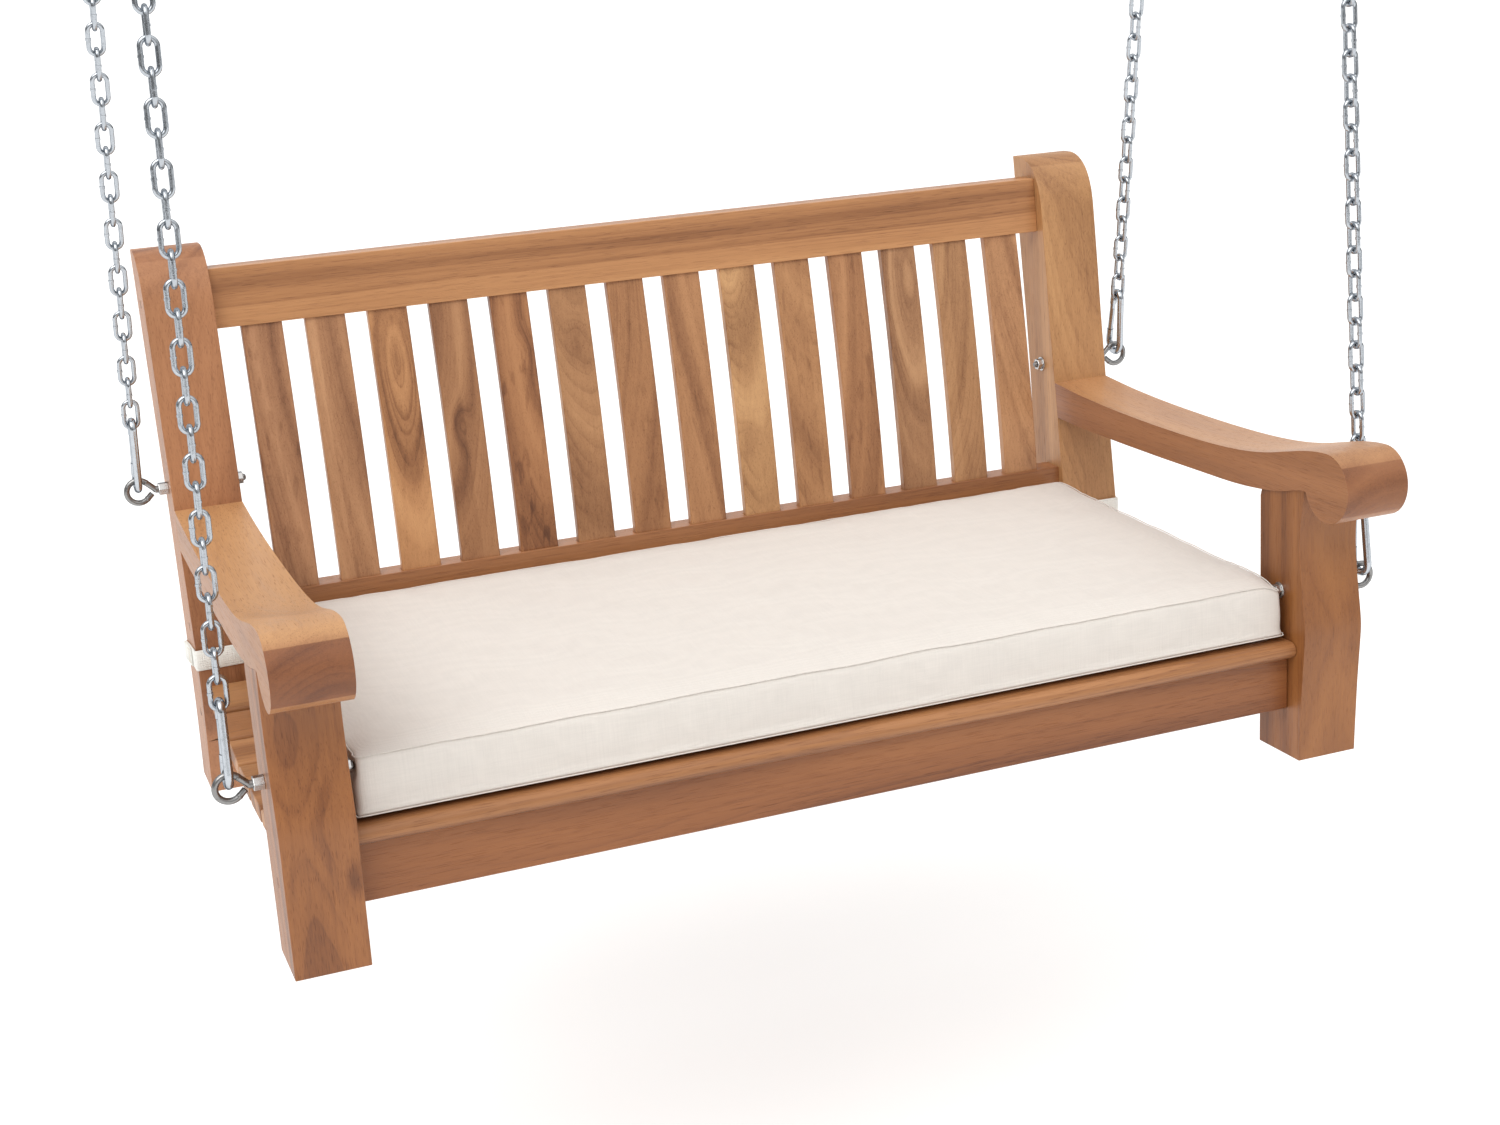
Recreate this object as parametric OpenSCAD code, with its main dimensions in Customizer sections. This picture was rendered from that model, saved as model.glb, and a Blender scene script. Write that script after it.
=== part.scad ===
// Hanging garden bench: hardwood frame with scrolled arms and a slatted back,
// box cushion, and four chains that run from eye bolts up to overhead hooks.
// Millimetres. X runs along the bench, -Y is the front, Z is up.
// The bench is stored as it hangs at rest, tipped back a little.
// The origin is in the middle of the whole piece's plan, level with its lowest corner.

/* [Bench] */
// Overall width over the legs
bench_w = 1200; // [900:10:1500]
// Width of legs and arms across the bench
leg_w = 74; // [55:1:90]
// Width of the rear posts across the bench
post_w = 76; // [55:1:90]
// Height of the rear posts
post_h = 629; // [500:1:750]
// Depth from the arm scrolls to the top of the posts
bench_d = 722; // [600:2:820]

/* [Arms] */
// Width of an armrest across the bench
arm_w = 76; // [55:1:95]
// Height of the underside of the arms
arm_under_z = 295; // [250:1:330]
// Radius of the scroll at the front of an arm
scroll_r = 38; // [25:1:45]

/* [Back] */
// Number of upright back slats
slat_n = 14; // [8:1:14]
// Width of a back slat
slat_w = 46.5; // [30:0.5:60]
// Distance from one back slat to the next
slat_pitch = 72.6; // [50:0.1:90]
// Thickness of a back slat
slat_t = 13; // [9:1:20]
// Height of the underside of the top rail
top_rail_z = 537; // [450:1:600]
// Height of the top rail
top_rail_h = 67; // [40:1:90]
// Height of the top of the lower back rail
low_rail_z = 233; // [180:1:280]
// Height of the lower back rail
low_rail_h = 60; // [35:1:80]
// Thickness of the back rails
rail_t = 33; // [20:1:45]

/* [Seat] */
// Top of the front seat board
seat_z = 137; // [100:1:200]
// Thickness of the seat boards
board_t = 18; // [12:1:25]
// Depth of the front board
nose_d = 73; // [50:1:90]
// Number of boards behind the front board
board_n = 6; // [4:1:8]
// Depth of a seat board
board_d = 65; // [40:1:80]
// Distance from one seat board to the next
board_pitch = 71; // [50:1:90]
// Lowest height of the dished seat
dish_z = 119; // [90:1:150]
// Height of the front apron's lower edge
apron_z = 56; // [30:1:90]
// Thickness of the aprons and seat rails
apron_t = 28; // [18:1:40]

/* [Cushion] */
// Width of the cushion
cushion_w = 1022; // [800:1:1300]
// Depth of the cushion
cushion_d = 514; // [400:1:600]
// Thickness of the cushion
cushion_t = 66; // [40:1:100]
// Height of the lower edge of the corner straps
strap_z = 160; // [140:1:200]
// Width of a strap
strap_w = 24; // [15:1:40]

/* [Hardware] */
// Diameter of the eye bolt shank
bolt_d = 8; // [6:1:12]
// Wire of the bent eye
eye_wire = 6.5; // [4:0.5:9]
// Radius of the eye to the middle of its wire
eye_r = 13; // [9:0.5:18]
// Distance of the chain from the leg's outer face
eye_out = 33; // [28:1:45]
// Height of the front eye bolts
front_eye_z = 191; // [150:1:230]
// Height of the rear eye bolts
rear_eye_z = 364; // [340:1:420]
// Chain wire
link_wire = 5; // [3:0.5:8]
// Inside length of a link
link_in = 26.3; // [18:0.1:40]
// Outside width of a link
link_w = 20; // [14:0.5:30]
// Links in a front chain (even)
front_links = 26; // [10:2:60]
// Links in a rear chain (even)
rear_links = 20; // [10:2:60]
// Wire of the snap hooks
snap_wire = 8.5; // [6:0.5:10]
// Overall length of a snap hook
snap_l = 90; // [60:1:120]
// Wire of the overhead hooks
hook_wire = 8; // [6:0.5:12]
// Backward lean of the front chains
front_lean = 1; // [0:0.1:12]
// Forward lean of the rear chains
rear_lean = 11.4; // [0:0.1:15]
// Inward lean of all chains
side_lean = 1.6; // [0:0.1:4]
// Backward tilt of the bench as it hangs at rest
hang_tilt = 5.4; // [0:0.01:8]
// Height of the beam that the hooks screw into
beam_z = 1075; // [1040:1:1300]

/* [Hidden] */
$fn = 48;
half = bench_w / 2;
leg_in = half - leg_w;
post_in = half - post_w;
// the profiles below are drawn with y = 0 at the toe of the front legs
y_mid = 275;
// shifts that bring the tilted bench's box onto the origin
function tilt_y(y, z) = (y - y_mid) * cos(hang_tilt) + z * sin(hang_tilt);
plan_y = -(tilt_y(636, post_h) + tilt_y(-48, 325) - scroll_r) / 2;
lift = (622 - y_mid) * sin(hang_tilt);
side_rail_x = 534;
side_rail_t = 30;
slop = 0.25;
// rest of a snap hook's lower bend below the eye wire
hang_gap = 2;
link_r = (link_w - link_wire) / 2;
link_pitch = link_in - 0.2;
snap_big = 13.25;
snap_small = 8.5;
snap_low = -(eye_wire / 2 + snap_wire / 2 + hang_gap);
snap_c0 = snap_low + snap_big;
snap_c1 = snap_low + snap_l - snap_wire - snap_small;
snap_beta = asin((snap_big - snap_small) / (snap_c1 - snap_c0));
snap_side = (snap_c1 - snap_c0) * cos(snap_beta);
gate_a = 13;
gate_b = 53;
gate_w = 4;
first_link = snap_c1 + snap_small - snap_wire / 2 - link_wire / 2 - 0.2;

leg_front = [[0, 0], [-2, 40], [-5, 90], [-9, 135], [-9.5, 155], [-6, 180], [-1, 212],
    [2, 245], [1, 272], [-3, 296], [-7, 322]];
leg_back = [[66, 322], [76, 292], [76, 200], [76, 100], [77, 0]];
post_face = [[548, 0], [537, 40], [525, 84], [517, 125], [516, 162], [521, 205], [528, 258],
    [535, 318], [541, 368], [548, 430], [554, 490], [560, 545], [563, 570]];
post_crown = [[566, 584], [572, 599], [581, 612], [592, 621], [604, 626.5], [616, post_h]];
post_back = [[636, post_h], [630, 575], [621, 500], [612, 425], [605, 355], [601, 290], [600, 220],
    [600, 150], [603, 95], [610, 48], [622, 0]];
arm_top = [[560, 345], [541, 344], [470, 338], [390, 334], [300, 332], [215, 332], [150, 334],
    [100, 338], [60, 344], [24, 352], [-6, 358.5], [-30, 362], [-47, 363]];
arm_low = [[-25, 300], [-15, 312], [-4, 314], [14, 310], [40, 304], [75, 299.5], [125, 296],
    [200, arm_under_z], [300, 294.5], [400, 295], [480, 296.5], [541, 299], [560, 300]];

function mix(a, b, t) = a + (b - a) * t;
// smooth curve through hand-picked points
function knot(p, i) = p[max(0, min(len(p) - 1, i))];
function spline(p, i, t) = let (a = knot(p, i - 1), b = knot(p, i), c = knot(p, i + 1), d = knot(p, i + 2))
    0.5 * (2 * b + (c - a) * t + (2 * a - 5 * b + 4 * c - d) * t * t + (3 * b - a - 3 * c + d) * t * t * t);
function smooth(p, n = 3) = concat([for (i = [0:len(p) - 2]) for (k = [0:n - 1]) spline(p, i, k / n)],
    [p[len(p) - 1]]);
// front face of the back slats, and height and slope of the dished seat
function back_y(z) = let (t = (z - 233) / 304) 537.5 + 23.5 * t + 17 * t * t;
function dish(y) = dish_z + 0.00037 * (y - 240) * (y - 240);
function dish_angle(y) = atan(2 * 0.00037 * (y - 240));
function board_y(i) = 118 + i * board_pitch;
// where a point of the bench ends up once it is tilted
function hung_y(y, z) = tilt_y(y, z) + plan_y;
function hung_z(y, z) = -(y - y_mid) * sin(hang_tilt) + z * cos(hang_tilt) + lift;
function slat_x(i) = (i - (slat_n - 1) / 2) * slat_pitch;

// ---------------------------------------------------------------- helpers
module in_frame() translate([0, plan_y, lift]) rotate([-hang_tilt, 0, 0]) translate([0, -y_mid, 0])
    children();

// a profile drawn in (y, z), extruded along x from x0
module across(x0, w) translate([x0, 0, 0]) rotate([90, 0, 90]) linear_extrude(w) children();

// left side at side = -1, right side at side = 1; x0 is measured from the middle
module mirrored_across(side, x0, w) across(side > 0 ? x0 : -x0 - w, w) children();

module bar(x0, x1, y0, y1, z0, z1) translate([x0, y0, z0]) cube([x1 - x0, y1 - y0, z1 - z0]);

module rounded_rect(w, d, r) union() {
    translate([r, 0]) square([w - 2 * r, d]);
    translate([0, r]) square([w, d - 2 * r]);
    for (x = [r, w - r], y = [r, d - r]) translate([x, y]) circle(r);
}

module side_bar(side, x0, x1, y0, y1, z0, z1)
    bar(side > 0 ? x0 : -x1, side > 0 ? x1 : -x0, y0, y1, z0, z1);

module x_rod(x0, x1, y, z, d) translate([x0, y, z]) rotate([0, 90, 0]) cylinder(h = x1 - x0, d = d);

// ---------------------------------------------------------------- profiles
module leg_profile() polygon(concat(smooth(leg_front), leg_back));

module post_profile() polygon(concat(smooth(post_face), smooth(post_crown), smooth(post_back, 2)));

module arm_profile() difference() {
    union() {
        polygon(concat(smooth(arm_top), [[-47, 325]], smooth(arm_low)));
        translate([-48, 325]) circle(scroll_r, $fn = 120);
    }
    post_profile();
}

module slat_profile() polygon(concat(
    [for (z = [223:27:547]) [back_y(z), z]],
    [for (z = [547:-27:223]) [back_y(z) + slat_t, z]]));

module board_profile(i) translate([board_y(i), dish(board_y(i))]) rotate(dish_angle(board_y(i)))
    translate([-board_d / 2, -board_t]) rounded_rect(board_d, board_t, 5);

module nose_profile() translate([5, seat_z - board_t]) union() {
    translate([9, 0]) square([nose_d - 9, board_t]);
    translate([9, 9]) circle(9);
}

module bearer_profile(y0, y1) difference() {
    polygon(concat([[y0, apron_z + 4]], [for (i = [0:12]) let (y = mix(y0, y1, i / 12))
        [y, dish(y) - board_t + 3]], [[y1, apron_z + 4]]));
    for (i = [0:board_n - 1]) board_profile(i);
    nose_profile();
}

// ---------------------------------------------------------------- joinery
module apron_tenon(side) side_bar(side, leg_in, leg_in + 25, 29, 43, apron_z + 8, apron_z + 52);
module seat_rail_tenon(side) side_bar(side, post_in, post_in + 25, 547, 561, 74, 116);
module side_rail_tenons(side) {
    side_bar(side, side_rail_x + 8, side_rail_x + 22, 51, 78, apron_z + 10, apron_z + 40);
    side_bar(side, side_rail_x + 8, side_rail_x + 22, 516, 538, apron_z + 14, apron_z + 50);
}
module leg_tenon(side) side_bar(side, leg_in + 22, leg_in + 52, 18, 58, 300, 324);
module arm_tenon(side) side_bar(side, half - 52, half - 24, 530, 558, 308, 332);
module top_rail_tenon(side) side_bar(side, post_in, post_in + 28, 583, 603, top_rail_z + 10, top_rail_z + 50);
module low_rail_tenon(side) side_bar(side, post_in, post_in + 28, 541, 557, low_rail_z - 48, low_rail_z - 10);
module bolt_bore(side, y, z) x_rod(side > 0 ? 400 : -700, side > 0 ? 700 : -400, y, z, bolt_d + 2 * slop);
module plug(side, y, z) x_rod(side > 0 ? half - 10 : -half, side > 0 ? half : -half + 10, y, z, 10);
module leg_plug(side) plug(side, 36, 88);
module post_plugs(side) {
    plug(side, 597, 571);
    plug(side, 549, 204);
    plug(side, 554, 99);
}

// ---------------------------------------------------------------- wood
module rear_post(side) color([0.70, 0.49, 0.32]) in_frame() difference() {
    mirrored_across(side, post_in, post_w) post_profile();
    seat_rail_tenon(side);
    side_rail_tenons(side);
    top_rail_tenon(side);
    low_rail_tenon(side);
    arm_tenon(side);
    bolt_bore(side, 572, rear_eye_z);
    post_plugs(side);
}

module front_leg(side) color([0.69, 0.48, 0.31]) in_frame() union() {
    difference() {
        mirrored_across(side, leg_in, leg_w) difference() {
            leg_profile();
            arm_profile();
        }
        apron_tenon(side);
        side_rail_tenons(side);
        bolt_bore(side, 38, front_eye_z);
        leg_plug(side);
    }
    leg_tenon(side);
}

module armrest(side) color([0.72, 0.51, 0.34]) in_frame() union() {
    difference() {
        mirrored_across(side, half - arm_w, arm_w) arm_profile();
        leg_tenon(side);
        arm_tenon(side);
    }
    arm_tenon(side);
}

module top_back_rail() color([0.70, 0.48, 0.31]) in_frame() union() {
    difference() {
        across(-post_in, 2 * post_in) polygon([[575, top_rail_z], [581, top_rail_z + top_rail_h],
            [581 + rail_t, top_rail_z + top_rail_h], [575 + rail_t, top_rail_z]]);
        for (i = [0:slat_n - 1]) across(slat_x(i) - slat_w / 2, slat_w) slat_profile();
    }
    for (side = [-1, 1]) top_rail_tenon(side);
}

module lower_back_rail() color([0.68, 0.46, 0.30]) in_frame() union() {
    difference() {
        bar(-post_in, post_in, 533, 533 + rail_t, low_rail_z - low_rail_h, low_rail_z);
        for (i = [0:slat_n - 1]) across(slat_x(i) - slat_w / 2, slat_w) slat_profile();
    }
    for (side = [-1, 1]) low_rail_tenon(side);
}

module back_slat(i) color([0.66 + 0.03 * (i % 3), 0.45 + 0.03 * (i % 3), 0.30 + 0.02 * (i % 3)])
    in_frame() across(slat_x(i) - slat_w / 2, slat_w) slat_profile();

module front_apron() color([0.60, 0.40, 0.26]) in_frame() union() {
    bar(-leg_in, leg_in, 22, 22 + apron_t, apron_z, seat_z - board_t);
    for (side = [-1, 1]) apron_tenon(side);
}

module rear_seat_rail() color([0.66, 0.45, 0.30]) in_frame() union() {
    bar(-post_in, post_in, 540, 540 + apron_t, 64, 128);
    for (side = [-1, 1]) seat_rail_tenon(side);
}

module side_rail(side) color([0.67, 0.46, 0.30]) in_frame() union() {
    difference() {
        mirrored_across(side, side_rail_x, side_rail_t) bearer_profile(70, 530);
        mirrored_across(side, leg_in - 1, leg_w + 2) leg_profile();
        mirrored_across(side, post_in - 1, post_w + 2) post_profile();
    }
    side_rail_tenons(side);
}

module centre_bearer() color([0.67, 0.46, 0.30]) in_frame()
    across(-15, 30) bearer_profile(22 + apron_t, 540);

module seat_board_nose() color([0.74, 0.53, 0.35]) in_frame() difference() {
    across(-leg_in, 2 * leg_in) nose_profile();
}

module seat_board(i) color([0.71, 0.50, 0.33]) in_frame() difference() {
    across(-half + 6, 2 * half - 12) board_profile(i);
    for (side = [-1, 1]) mirrored_across(side, post_in - 0.5, post_w + 1) post_profile();
}

module dowel_plugs() color([0.58, 0.38, 0.24]) in_frame() for (side = [-1, 1]) {
    leg_plug(side);
    post_plugs(side);
}

// ---------------------------------------------------------------- soft parts
module cushion() color([0.93, 0.90, 0.86]) in_frame() translate([0, 14.5, seat_z + 0.5]) rotate([1, 0, 0])
    translate([-cushion_w / 2, 0, 0]) linear_extrude(cushion_t) rounded_rect(cushion_w, cushion_d, 24);

// a band round the rear post, with a tab to the cushion's rear corner
module strap(side) color([0.92, 0.89, 0.84]) in_frame() difference() {
    union() {
        side_bar(side, post_in - 2.5, half + 2.5, 513, 604, strap_z, strap_z + strap_w);
        side_bar(side, cushion_w / 2 + 0.5, post_in, 517, 519.5, strap_z, strap_z + strap_w);
    }
    side_bar(side, post_in - 0.5, half + 0.5, 515.3, 602, strap_z - 1, strap_z + strap_w + 1);
    // the inner run is gathered to pass under the lower back rail
    side_bar(side, post_in - 4, post_in + 1, 531, 533 + rail_t + 2, low_rail_z - low_rail_h - 0.5, strap_z + strap_w + 1);
}

// ---------------------------------------------------------------- eye bolts
// drawn along +X outward from the leg's outer face, in the XZ plane
module bent_eye() {
    reach = eye_out - 14;
    turn = acos(eye_r / reach);
    leg_l = reach * sin(turn);
    translate([eye_out, 0, 0]) rotate([90, 0, 0])
        rotate([0, 0, -180 + turn]) rotate_extrude(angle = 360 - 2 * turn, $fn = 72)
            translate([eye_r, 0]) circle(d = eye_wire, $fn = 28);
    translate([14, 0, 0]) rotate([0, 90 - (90 - turn), 0]) translate([0, 0, 0])
        cylinder(h = leg_l, d = eye_wire, $fn = 28);
    translate([14, 0, 0]) sphere(d = eye_wire + 0.6, $fn = 28);
    for (up = [-1, 1]) translate([14 + leg_l * sin(turn), 0, up * leg_l * cos(turn)])
        sphere(d = eye_wire + 0.6, $fn = 28);
    translate([14, 0, 0]) rotate([0, 180 - turn, 0]) translate([0, 0, 6])
        cylinder(h = leg_l - 6, d = eye_wire, $fn = 28);
}

module eye_bolt(side, y, z, inside) color([0.45, 0.45, 0.46]) in_frame() translate([0, y, z])
    rotate([0, 0, side > 0 ? 0 : 180]) {
        translate([half, 0, 0]) bent_eye();
        translate([half + 14, 0, 0]) rotate([0, -90, 0]) cylinder(h = 14 + half - inside + 9.5, d = bolt_d);
        translate([inside - 9.5, 0, 0]) rotate([0, -90, 0]) cylinder(h = 2, r1 = bolt_d / 2, r2 = 2.6);
    }

// a plain hexagon nut from x0 to x0 + h, bored for the bolt
module nut(x0, h) translate([x0, 0, 0]) rotate([0, 90, 0]) difference() {
    rotate(30) cylinder(h = h, d = 15, $fn = 6);
    translate([0, 0, -1]) cylinder(h = h + 2, d = bolt_d);
}

module at_bolts() for (side = [-1, 1]) {
    in_frame() translate([0, 38, front_eye_z]) rotate([0, 0, side > 0 ? 0 : 180]) {
        $inside = leg_in;
        children();
    }
    in_frame() translate([0, 572, rear_eye_z]) rotate([0, 0, side > 0 ? 0 : 180]) {
        $inside = post_in;
        children();
    }
}

module hex_nuts() color([0.62, 0.62, 0.63]) at_bolts() {
    nut(half, 11);
    nut($inside - 8.1, 6.5);
}

module washers() color([0.66, 0.66, 0.67]) at_bolts() translate([$inside - 1.6, 0, 0]) rotate([0, 90, 0])
    difference() {
        cylinder(h = 1.6, d = 18);
        translate([0, 0, -1]) cylinder(h = 4, d = bolt_d);
    }

// ---------------------------------------------------------------- chains
// the chain frame: origin on the eye's top wire, +Z up the chain
module hang(side, rear) in_frame()
    translate([side * (half + eye_out), rear ? 572 : 38, (rear ? rear_eye_z : front_eye_z) + eye_r])
        rotate([rear ? rear_lean : -front_lean, -side * side_lean, 0]) children();

// one link in the XZ plane, with its lower bend's wire centre at the origin
module link() {
    run = link_in + link_wire - 2 * link_r;
    translate([0, 0, link_r]) rotate([90, 0, 0]) rotate([0, 0, 180]) rotate_extrude(angle = 180, $fn = 40)
        translate([link_r, 0]) circle(d = link_wire, $fn = 20);
    translate([0, 0, link_r + run]) rotate([90, 0, 0]) rotate_extrude(angle = 180, $fn = 40)
        translate([link_r, 0]) circle(d = link_wire, $fn = 20);
    for (s = [-1, 1]) translate([s * link_r, 0, link_r]) cylinder(h = run, d = link_wire, $fn = 20);
    translate([-link_r, 0, link_r + run / 2 - 1.2]) cylinder(h = 2.4, d = link_wire + 0.9, $fn = 20);
}

module chain(side, rear) color([0.72, 0.74, 0.77]) hang(side, rear)
    for (i = [0:(rear ? rear_links : front_links) - 1])
        translate([0, 0, first_link + i * link_pitch]) rotate([0, 0, i % 2 == 0 ? 0 : 90]) link();

// points on the snap hook's two straight sides; s = -1 is the spine, s = 1 the gate side
module snap_line(s) translate([0, s * snap_big * cos(snap_beta), snap_c0 + snap_big * sin(snap_beta)])
    rotate([s * snap_beta, 0, 0]) children();

module snap_arc(z, r, from, sweep) translate([0, 0, z]) rotate([90, 0, 90]) rotate([0, 0, from])
    rotate_extrude(angle = sweep, $fn = 64) translate([r, 0]) circle(d = snap_wire, $fn = 28);

// the forked end that holds the gate's pin, cut before it joins the body
module snap_fork() difference() {
    translate([0, 0, gate_b - 4]) cylinder(h = snap_side - gate_b + 4.3, d = snap_wire - 0.06, $fn = 28);
    translate([-gate_w / 2 - 0.25, -10, gate_b - 12]) cube([gate_w + 0.5, 20, 17]);
}

// the straight sides are a hair thinner than the bends and run 0.3 into them
module snap(side, rear) color([0.70, 0.72, 0.75]) hang(side, rear) union() {
    snap_arc(snap_c0, snap_big, 180 - snap_beta, 180 + 2 * snap_beta);
    snap_arc(snap_c1, snap_small, snap_beta, 180 - 2 * snap_beta);
    snap_line(-1) translate([0, 0, -0.3]) cylinder(h = snap_side + 0.6, d = snap_wire - 0.06, $fn = 28);
    snap_line(1) translate([0, 0, -0.3]) cylinder(h = gate_a - 0.2, d = snap_wire - 0.06, $fn = 28);
    snap_line(1) snap_fork();
    snap_line(1) translate([-snap_wire / 2 + 0.3, 0, gate_b]) rotate([0, 90, 0])
        cylinder(h = snap_wire - 0.6, d = 2.6, $fn = 24);
}

module gate(side, rear) color([0.66, 0.68, 0.71]) hang(side, rear) snap_line(1) difference() {
    union() {
        translate([0, 0, gate_a]) cylinder(h = gate_b - gate_a - 5, d = 7, $fn = 28);
        translate([-gate_w / 2, -3.4, gate_b - 10]) cube([gate_w, 6.8, 10]);
        translate([-gate_w / 2, 0, gate_b]) rotate([0, 90, 0]) cylinder(h = gate_w, d = 6.8, $fn = 28);
    }
    translate([-6, 0, gate_b]) rotate([0, 90, 0]) cylinder(h = 12, d = 3, $fn = 24);
}

// ---------------------------------------------------------------- overhead hooks
module hook(side, rear) color([0.60, 0.62, 0.65]) {
    n = rear ? rear_links : front_links;
    s = first_link + (n - 1) * link_pitch + link_in + link_wire - link_wire / 2 - hook_wire / 2 - 0.3;
    r = 17;
    lean = rear ? rear_lean : -front_lean;
    y0 = (rear ? 572 : 38) - s * sin(lean);
    z0 = (rear ? rear_eye_z : front_eye_z) + eye_r + s * cos(lean) * cos(side_lean);
    x = round(100 * side * (half + eye_out - s * cos(lean) * sin(side_lean))) / 100;
    y = round(100 * hung_y(y0, z0)) / 100;
    z = hung_z(y0, z0);
    translate([x, y, z + r]) {
        rotate([90, 0, 0]) rotate([0, 0, side > 0 ? 90 : -220]) rotate_extrude(angle = 310, $fn = 72)
            translate([r, 0]) circle(d = hook_wire, $fn = 28);
    }
    translate([x, y, z + 2 * r]) sphere(d = hook_wire + 0.8);
    translate([x, y, z + 2 * r]) cylinder(h = beam_z - z - 2 * r, d = hook_wire);
    translate([x, y, beam_z - 4]) cylinder(h = 4, d = 24);
    translate([x, y, beam_z]) cylinder(h = 42, d = 8);
    translate([x, y, beam_z + 42]) cylinder(h = 8, d1 = 8, d2 = 2);
}

// ---------------------------------------------------------------- drawing
rear_post(-1);  // rear_post_left
rear_post(1);  // rear_post_right
front_leg(-1);  // front_leg_left
front_leg(1);  // front_leg_right
armrest(-1);  // armrest_left
armrest(1);  // armrest_right
top_back_rail();
lower_back_rail();
back_slat(0);  // back_slat_01
back_slat(1);  // back_slat_02
back_slat(2);  // back_slat_03
back_slat(3);  // back_slat_04
back_slat(4);  // back_slat_05
back_slat(5);  // back_slat_06
back_slat(6);  // back_slat_07
back_slat(7);  // back_slat_08
back_slat(8);  // back_slat_09
back_slat(9);  // back_slat_10
back_slat(10);  // back_slat_11
back_slat(11);  // back_slat_12
back_slat(12);  // back_slat_13
back_slat(13);  // back_slat_14
front_apron();
rear_seat_rail();
side_rail(-1);  // side_rail_left
side_rail(1);  // side_rail_right
centre_bearer();
seat_board_nose();
seat_board(0);  // seat_board_1
seat_board(1);  // seat_board_2
seat_board(2);  // seat_board_3
seat_board(3);  // seat_board_4
seat_board(4);  // seat_board_5
seat_board(5);  // seat_board_6
dowel_plugs();
eye_bolt(-1, 38, front_eye_z, leg_in);  // eye_bolt_front_left
eye_bolt(1, 38, front_eye_z, leg_in);  // eye_bolt_front_right
eye_bolt(-1, 572, rear_eye_z, post_in);  // eye_bolt_rear_left
eye_bolt(1, 572, rear_eye_z, post_in);  // eye_bolt_rear_right
hex_nuts();
washers();
cushion();
strap(-1);  // strap_left
strap(1);  // strap_right
chain(-1, false);  // chain_front_left
chain(1, false);  // chain_front_right
chain(-1, true);  // chain_rear_left
chain(1, true);  // chain_rear_right
snap(-1, false);  // snap_front_left
snap(1, false);  // snap_front_right
snap(-1, true);  // snap_rear_left
snap(1, true);  // snap_rear_right
gate(-1, false);  // gate_front_left
gate(1, false);  // gate_front_right
gate(-1, true);  // gate_rear_left
gate(1, true);  // gate_rear_right
hook(-1, false);  // hook_front_left
hook(1, false);  // hook_front_right
hook(-1, true);  // hook_rear_left
hook(1, true);  // hook_rear_right
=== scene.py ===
import math
import bpy
import numpy as np
from mathutils import Matrix, Vector


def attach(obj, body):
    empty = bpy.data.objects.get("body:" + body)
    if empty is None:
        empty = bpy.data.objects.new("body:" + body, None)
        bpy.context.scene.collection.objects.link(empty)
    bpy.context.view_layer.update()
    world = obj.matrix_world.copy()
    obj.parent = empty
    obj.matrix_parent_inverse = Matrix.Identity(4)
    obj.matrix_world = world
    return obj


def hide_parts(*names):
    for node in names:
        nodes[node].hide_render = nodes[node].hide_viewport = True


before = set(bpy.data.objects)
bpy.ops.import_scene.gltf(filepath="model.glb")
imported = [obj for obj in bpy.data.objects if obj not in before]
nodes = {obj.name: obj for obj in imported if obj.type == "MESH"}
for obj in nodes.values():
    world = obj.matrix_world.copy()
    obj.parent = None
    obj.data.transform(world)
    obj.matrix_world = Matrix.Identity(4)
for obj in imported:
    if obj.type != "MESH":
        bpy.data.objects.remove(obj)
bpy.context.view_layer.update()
scene = bpy.context.scene

# ------------------------------------------------------------------ the bench's own frame
# x along the bench, y = 0 at the toe of the front legs, z = 0 at the feet. The bench hangs tipped
# back about y = Y_MID, is centred in plan and then lifted until its lowest point is at z = 0.
TILT, Y_MID = math.radians(5.4), 0.275


def tilt_y(y, z):
    return (y - Y_MID) * math.cos(TILT) + z * math.sin(TILT)


# the points (y, z) that reach furthest back and forward, and the round front one's radius
REAR_REACH, FRONT_REACH, FRONT_RADIUS = (0.636, 0.629), (-0.048, 0.325), 0.038
LOWEST_Y = 0.622
PLAN_Y = -(tilt_y(*REAR_REACH) + tilt_y(*FRONT_REACH) - FRONT_RADIUS) / 2
LIFT = (LOWEST_Y - Y_MID) * math.sin(TILT)
BENCH = (Matrix.Translation((0, PLAN_Y, LIFT)) @ Matrix.Rotation(-TILT, 4, "X")
         @ Matrix.Translation((0, -Y_MID, 0)))

# ------------------------------------------------------------------ camera
# its place, heading and lens were solved together with the bench's sizes, in the bench's own frame
az, roll = math.radians(-20.41), math.radians(-3.7)
fwd = Vector((0.33531642, 0.90122228, -0.27452012)).normalized()
right0 = Vector((math.cos(az), math.sin(az), 0)).normalized()
up0 = right0.cross(fwd).normalized()
right = math.cos(roll) * right0 + math.sin(roll) * up0
up = -math.sin(roll) * right0 + math.cos(roll) * up0
m = Matrix((right, up, -fwd)).transposed().to_4x4()
m.translation = (-0.83499, -1.93849, 0.92625)
cam_data = bpy.data.cameras.new("camera")
cam_data.sensor_fit, cam_data.sensor_width, cam_data.lens = "HORIZONTAL", 36, 52.625
cam = bpy.data.objects.new("camera", cam_data)
scene.collection.objects.link(cam)
cam.matrix_world = BENCH @ m
scene.camera = cam
scene.view_settings.view_transform = "Standard"
scene.view_settings.look = "None"


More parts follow.
